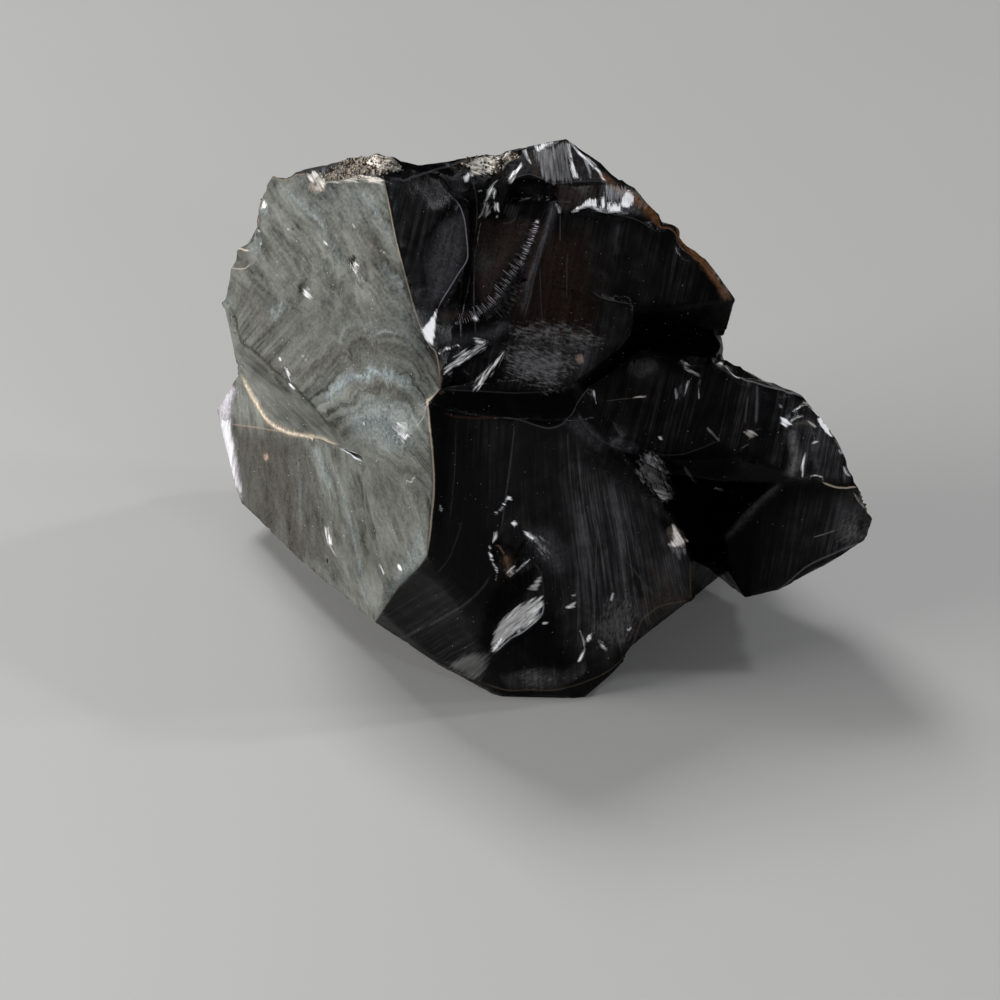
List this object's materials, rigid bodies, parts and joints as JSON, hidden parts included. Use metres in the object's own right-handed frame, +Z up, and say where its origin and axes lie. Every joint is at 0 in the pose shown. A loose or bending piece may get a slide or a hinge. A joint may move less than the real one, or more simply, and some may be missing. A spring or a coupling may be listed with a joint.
{
  "type": "obsidian chunk",
  "caption": "Free-standing broken chunk of black volcanic glass with curved break scars, sharp ridges, a stepped crown and an arm at one side.",
  "frame": {"origin": "on the flat base facet that the chunk stands on", "axes": "+Z up, +X along the chunk's long side towards the arm, -Y towards the front with the upright ridge"},
  "size_m": [0.0927, 0.0673, 0.0729],
  "materials": {
    "black_obsidian": "glossy black volcanic glass, opaque at this thickness, with sharp conchoidal breaks"
  },
  "bodies": {
    "root": {"obsidian_chunk": "black_obsidian"}
  },
  "joints": []
}
